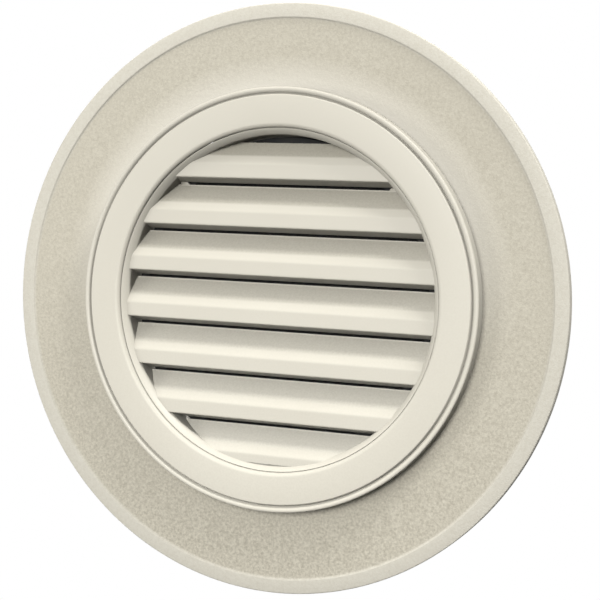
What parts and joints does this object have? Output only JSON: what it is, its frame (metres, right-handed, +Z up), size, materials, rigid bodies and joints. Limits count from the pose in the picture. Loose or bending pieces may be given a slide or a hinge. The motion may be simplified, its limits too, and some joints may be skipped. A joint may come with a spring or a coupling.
{
  "type": "round gable vent",
  "caption": "Round louvred gable vent in pale plastic: a wide textured surround with a raised rim, a smooth trim ring clipped inside it and sloping louvres with an insect screen behind.",
  "frame": {"origin": "on the vent's axis, in the plane of the wall face that the flange and the rim lie against", "axes": "+Y into the wall along the vent's axis, so the front looks towards -Y; +Z up; +X along the louvres, to the right as seen from the front"},
  "size_m": [0.7111, 0.0575, 0.7112],
  "materials": {
    "textured_cream": "fine stipple, matt",
    "smooth_cream": "smooth, satin",
    "screen_grey": "coated fibre mesh"
  },
  "bodies": {
    "root": {"surround": "textured_cream", "trim_ring": "smooth_cream", "vent_body": "smooth_cream", "insect_screen": "screen_grey"}
  },
  "joints": []
}
